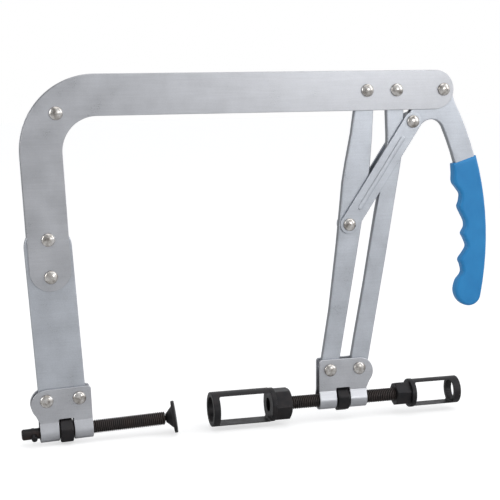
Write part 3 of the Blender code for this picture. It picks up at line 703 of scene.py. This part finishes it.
def make_rod(material):
    matrix = Matrix.Translation((0, 0, joint_matrix("adjusting_nut_turn").translation.z))
    low, high = node_span("threaded_rod", matrix)
    root = THREAD_R - THREAD_DEPTH
    shape = bmesh.new()
    turned(shape, [(low, 0), (low, root)], THREAD_SIDES)
    thread(shape, low, high)
    turned(shape, [(high, root), (high, 0)], THREAD_SIDES)
    return turned_piece("threaded_rod", material, matrix, shape)


def rounded_box(centre, size, corner):
    """The outline of a rectangle with round corners, running clockwise."""
    points = []
    for k, (x, z) in enumerate(((1, 1), (1, -1), (-1, -1), (-1, 1))):
        middle = (centre[0] + x * (size[0] / 2 - corner), centre[1] + z * (size[1] / 2 - corner))
        points += arc(middle, corner, pi / 2 * (1 - k), -pi / 2 * k)
    return points


def arc(centre, radius, start, end, step=radians(6)):
    count = max(2, ceil(abs(end - start) / step))
    turns = [start + (end - start) * k / count for k in range(count + 1)]
    return [Vector((centre[0] + radius * cos(turn), centre[1] + radius * sin(turn))) for turn in turns]


def cut_slot(shape, low, high, half, reach):
    """Cut a window with round corners right through a shape, along Y."""
    size = (high - low, 2 * half)
    outline = rounded_box(((low + high) / 2, 0), size, SLOT_CORNER)
    slot = bmesh.new()
    bridge(slot, [[slot.verts.new((point.x, y, point.y)) for point in outline] for y in (-reach, reach)])
    bmesh.ops.holes_fill(slot, edges=slot.edges)
    bmesh.ops.recalc_face_normals(slot, faces=slot.faces)
    bmesh.ops.recalc_face_normals(shape, faces=shape.faces)
    body, cutter = (new_object("temporary", part) for part in (shape, slot))
    modifier = body.modifiers.new("slot", 'BOOLEAN')
    modifier.operation = 'DIFFERENCE'
    modifier.solver = 'EXACT'
    modifier.object = cutter
    bevel = body.modifiers.new("eased", 'BEVEL')
    bevel.width = SLOT_EDGE
    bevel.segments = 2
    bevel.limit_method = 'ANGLE'
    bevel.angle_limit = radians(50)
    result = bmesh.new()
    result.from_object(body, bpy.context.evaluated_depsgraph_get())
    for item in (body, cutter):
        bpy.data.objects.remove(item, do_unlink=True)
    return result


def make_adapter(node, sizes, side, material):
    """A spring adapter: rim ring, open cup with two windows, collar and chamfered hexagon."""
    matrix = Matrix.Translation((0, 0, joint_matrix(f"{node}_turn").translation.z))
    low, high = node_span(node, matrix)
    rim = low if side > 0 else high
    ring, cup, collar, tail, radius, collar_radius, bore, slot, flat = (
        sizes[key] * MM for key in ("ring", "cup", "collar", "tail", "radius", "collar_radius",
                                    "bore", "slot", "flat"))
    corner = radians(sizes["corner"])
    edge = ADAPTER_EDGE
    floor = cup - CUP_FLOOR

    def reach(place, wanted, turn):
        down = (place - rim) * side
        if wanted < flat or down <= collar + 0.01 * MM:
            return wanted
        chamfer = flat * FACE_SHARE + (tail - down) * CHAMFER_SLOPE
        return min(hex_reach(flat, turn - corner), chamfer)

    outer = [(0, bore + edge), (0, radius - edge), (edge * 0.3, radius - edge * 0.3), (edge, radius),
             (cup, radius), (cup + 0.3 * MM, collar_radius - 0.35 * MM), (cup + 0.8 * MM, collar_radius),
             (collar - edge, collar_radius), (collar - edge * 0.3, collar_radius - edge * 0.3),
             (collar, collar_radius - edge)]
    hexagon = [(collar + 0.02 * MM, flat)]
    hexagon += [(tail - step * MM, flat) for step in (1.6, 1.2, 0.8, 0.5, 0.2, 0)]
    inner = [(tail, NUT_BORE_R + 0.6 * MM), (tail - 0.6 * MM, NUT_BORE_R), (floor, NUT_BORE_R),
             (floor, bore), (edge, bore), (0, bore + edge)]
    shape = bmesh.new()
    profile = [(rim + side * place, reached) for place, reached in outer + hexagon + inner]
    turned(shape, profile, ADAPTER_SIDES, reach)
    bmesh.ops.remove_doubles(shape, verts=shape.verts, dist=MERGE)
    ends = sorted((rim + side * ring, rim + side * cup))
    shape = cut_slot(shape, *ends, slot, 2 * radius)
    return turned_piece(node, material, matrix, shape)


# --- Brackets ----------------------------------------------------------------------------------

def fold(point):
    """Bend a point of the flat strip: X, height off its middle, and length from the barrel's bottom."""
    side = -1 if point.z > 0 else 1
    length = abs(point.z)
    if length < BARREL_LENGTH:
        turn = length / BARREL_MID_R - pi / 2
        reach = BARREL_MID_R + point.y
        across, rise = reach * cos(turn), reach * sin(turn)
    elif length < FLANK_LENGTH:
        reach = BARREL_MID_R + point.y
        climb = length - BARREL_LENGTH
        across = reach * cos(CREASE_TURN) - climb * sin(CREASE_TURN)
        rise = reach * sin(CREASE_TURN) + climb * cos(CREASE_TURN)
    elif length < FOLD_LENGTH:
        turn = CREASE_TURN - (length - FLANK_LENGTH) / CREASE_R
        reach = CREASE_R - point.y
        across = EAR_Y + CREASE_R - reach * cos(turn)
        rise = CREASE_RISE - reach * sin(turn)
    else:
        across = EAR_Y + point.y
        rise = CREASE_RISE + length - FOLD_LENGTH
    return Vector((point.x, side * across, rise - BARREL_DROP))


def ear_length(rise):
    """The length along the strip to a height on its ear, from the line of the rivets."""
    return FOLD_LENGTH + rise + BARREL_DROP - CREASE_RISE


def bracket_loops(rivet_reach):
    """The flat strip: its outline, the nut's window and the four rivet holes."""
    corner = (BRACKET_FLAT - BRACKET_CORNER, ear_length(BRACKET_TOP - BRACKET_CORNER))
    front = (arc(corner, BRACKET_CORNER, 0, pi / 2)
             + arc((BULGE_X, ear_length(BULGE_Z)), BULGE_R, pi / 2, BULGE_END)
             + [Vector((BARREL_END, ear_length(BARREL_TOP)))])
    rear = [Vector((point.x, -point.y)) for point in reversed(front)]
    middle = (BRACKET_FLAT + BARREL_END) / 2
    window_top = ear_length(WINDOW_RISE - BARREL_DROP)
    window = rounded_box((middle, 0), (WINDOW_WIDTH, 2 * window_top), WINDOW_CORNER)
    holes = [arc((x * rivet_reach, y * ear_length(0)), RIVET_SHANK_R, 2 * pi, 0, radians(15))[:-1]
             for x in (-1, 1) for y in (-1, 1)]
    return [front + rear, window, *holes]


def bracket_piece(node, material):
    """A bracket folded from sheet, placed by the middles of its two rivets."""
    outer, inner = (node_middle(f"{node}_rivet_{end}") for end in ("outer", "inner"))
    shape = bmesh.new()
    half = BRACKET_SHEET / 2
    rounded_plate(shape, bracket_loops((inner - outer).length / 2), -half, half, BRACKET_EDGE)
    folds = ceil(BARREL_LENGTH / BARREL_MID_R / FOLD_STEP)
    places = [BARREL_LENGTH * k / folds for k in range(folds)]
    places += [BARREL_LENGTH] + [FLANK_LENGTH + CREASE_R * CREASE_TURN * k / 4 for k in range(5)]
    for place in sorted({sign * place for place in places for sign in (-1, 1)}):
        bmesh.ops.bisect_plane(shape, geom=shape.verts[:] + shape.edges[:] + shape.faces[:],
                               plane_co=(0, 0, place), plane_no=(0, 0, 1), dist=MERGE)
    for vert in shape.verts:
        vert.co = fold(vert.co)
    along = (inner - outer).normalized()
    upward = Vector((-along.z, 0, along.x)) * (1 if along.x > 0 else -1)
    matrix = Matrix((along, Vector((0, 1, 0)), upward)).transposed().to_4x4()
    matrix.translation = (inner + outer) / 2
    return turned_piece(node, material, matrix, shape)


# --- Plates ------------------------------------------------------------------------------------

def make_plates(zinc, zinc_cool):
    for node in ("front_frame_plate", "rear_frame_plate"):
        plate_piece(node, zinc, SHEET_EDGE)
    for node in ("lower_arm", "inner_link", "outer_link", "handle_lever"):
        plate_piece(node, zinc_cool, PLATE_EDGE)
    frame["nodes"]["corner_spacer"].data.materials.clear()
    frame["nodes"]["corner_spacer"].data.materials.append(zinc_cool)


def make_toggle(node, side, pivots, material):
    """A toggle strip with a rib pressed up along its middle, standing out on its outer side."""
    inner = min(abs(point.y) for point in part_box(node))
    outer = inner + TOGGLE_SHEET
    shape = bmesh.new()
    loops = [smooth_loop(loop) for loop in cap_loops(node, side * inner)]
    rounded_plate(shape, loops, *sorted((side * inner, side * outer)), TOGGLE_EDGE)
    first, second = (Vector((node_middle(pivot).x, node_middle(pivot).z)) for pivot in pivots)
    along = (second - first).normalized()
    heading = atan2(along.y, along.x)
    rib = (arc(second - along * RIB_INSET, RIB_WIDTH / 2, heading - pi / 2, heading + pi / 2)
           + arc(first + along * RIB_INSET, RIB_WIDTH / 2, heading + pi / 2, heading + 3 * pi / 2))
    rib_y = sorted((side * (outer - RIB_HEIGHT), side * (outer + RIB_HEIGHT)))
    rounded_plate(shape, [rib], *rib_y, RIB_HEIGHT)
    return finish_piece(node, material, shape)


# --- Stage -------------------------------------------------------------------------------------

def make_floor():
    """A pale plain floor, seen as white as the studio round it."""
    mesh = bpy.data.meshes.new("floor")
    reach = FLOOR_REACH
    corners = [(-reach, -reach, 0), (reach, -reach, 0), (reach, reach, 0), (-reach, reach, 0)]
    mesh.from_pydata(corners, [], [(0, 1, 2, 3)])
    floor = bpy.data.objects.new("floor", mesh)
    bpy.context.collection.objects.link(floor)
    material, tree, shader = new_material("pale_floor", 0.0, 0.9)
    shader.inputs["Base Color"].default_value = FLOOR_COLOUR
    shader.inputs["Emission Color"].default_value = (1, 1, 1, 1)
    seen = add_node(tree, "ShaderNodeLightPath").outputs["Is Camera Ray"]
    tree.links.new(calculate(tree, 'MULTIPLY', seen, FLOOR_GLOW), shader.inputs["Emission Strength"])
    mesh.materials.append(material)


def make_world():
    """A white studio, seen plain white, that lights the tool more from the right than the left."""
    world = bpy.data.worlds.new("studio")
    bpy.context.scene.world = world
    world.use_nodes = True
    tree = world.node_tree
    studio = tree.nodes["Background"]
    direction = add_node(tree, "ShaderNodeSeparateXYZ")
    tree.links.new(add_node(tree, "ShaderNodeTexCoord").outputs["Generated"], direction.inputs[0])
    across = spread(tree, direction.outputs["X"], *WORLD_SPREAD, (-0.25, 0.5))
    tree.links.new(across, studio.inputs["Strength"])
    studio.inputs["Color"].default_value = WORLD_COLOUR
    plain = add_node(tree, "ShaderNodeBackground")
    plain.inputs["Color"].default_value = (1, 1, 1, 1)
    chosen = add_node(tree, "ShaderNodeMixShader")
    tree.links.new(add_node(tree, "ShaderNodeLightPath").outputs["Is Camera Ray"], chosen.inputs[0])
    tree.links.new(studio.outputs[0], chosen.inputs[1])
    tree.links.new(plain.outputs[0], chosen.inputs[2])
    tree.links.new(chosen.outputs[0], tree.nodes["World Output"].inputs["Surface"])
    bpy.context.scene.view_settings.view_transform = 'Standard'


def make_lights():
    """Soft boxes overhead, in front, to the right and low at the left."""
    for name, place, size, power in SOFT_BOXES:
        softbox(name, place, LIGHT_AIM, size, power)


def softbox(name, place, aim, size, power):
    light = bpy.data.lights.new(name, 'AREA')
    light.shape = 'RECTANGLE'
    light.size, light.size_y = size
    light.energy = power
    lamp = bpy.data.objects.new(name, light)
    bpy.context.collection.objects.link(lamp)
    lamp.location = place
    lamp.rotation_mode = 'QUATERNION'
    lamp.rotation_quaternion = (Vector(aim) - Vector(place)).to_track_quat('-Z', 'Y')


def make_camera():
    forward = Vector((sin(YAW) * cos(PITCH), cos(YAW) * cos(PITCH), -sin(PITCH)))
    level = Vector((cos(YAW), -sin(YAW), 0))
    upward = level.cross(forward)
    right = level * cos(ROLL) + upward * sin(ROLL)
    upward = upward * cos(ROLL) - level * sin(ROLL)
    camera = bpy.data.objects.new("camera", bpy.data.cameras.new("camera"))
    bpy.context.collection.objects.link(camera)
    camera.data.lens = LENS
    camera.data.sensor_width = SENSOR
    turn = Matrix((right, upward, -forward)).transposed()
    camera.matrix_world = Matrix.Translation(TARGET - forward * DISTANCE) @ turn.to_4x4()
    bpy.context.scene.camera = camera


def main():
    zinc = zinc_material("zinc_sheet", (0.60, 0.61, 0.64), 0)
    zinc_cool = zinc_material("zinc_plate", (0.62, 0.65, 0.70), pi / 2)
    nickel = nickel_material()
    black = black_material("black_oxide", 0.3, 0.6)
    worn = black_material("black_thread", 1.0, 0.0)
    make_plates(zinc, zinc_cool)
    toggle_pivots = ("toggle_link_rivet", "toggle_handle_rivet_front")
    for node, side in (("front_toggle", -1), ("rear_toggle", 1)):
        make_toggle(node, side, toggle_pivots, zinc_cool)
    for node in ("fixed_bracket", "moving_bracket"):
        bracket_piece(node, zinc)
    plate_piece("handle_grip", vinyl_material(), GRIP_EDGE, GRIP_CORNER_TURN, 6)
    for node in frame["nodes"]:
        if "rivet" in node:
            rivet_piece(node, nickel)
    screw_matrix = joint_matrix("pad_screw_turn")
    nut_matrix = screw_matrix.copy()
    nut_matrix.translation = node_middle("fixed_nut")
    nut_piece("fixed_nut", black, nut_matrix)
    nut_piece("adjusting_nut", black, joint_matrix("adjusting_nut_turn"))
    make_pad_screw(worn, screw_matrix)
    make_cross_pin(black)
    make_foot_ball(black, screw_matrix)
    make_foot(black)
    make_rod(worn)
    make_adapter("large_adapter", LARGE_ADAPTER, 1, black)
    make_adapter("small_adapter", SMALL_ADAPTER, -1, black)
    make_floor()
    make_world()
    make_lights()
    make_camera()


main()
bpy.context.view_layer.update()
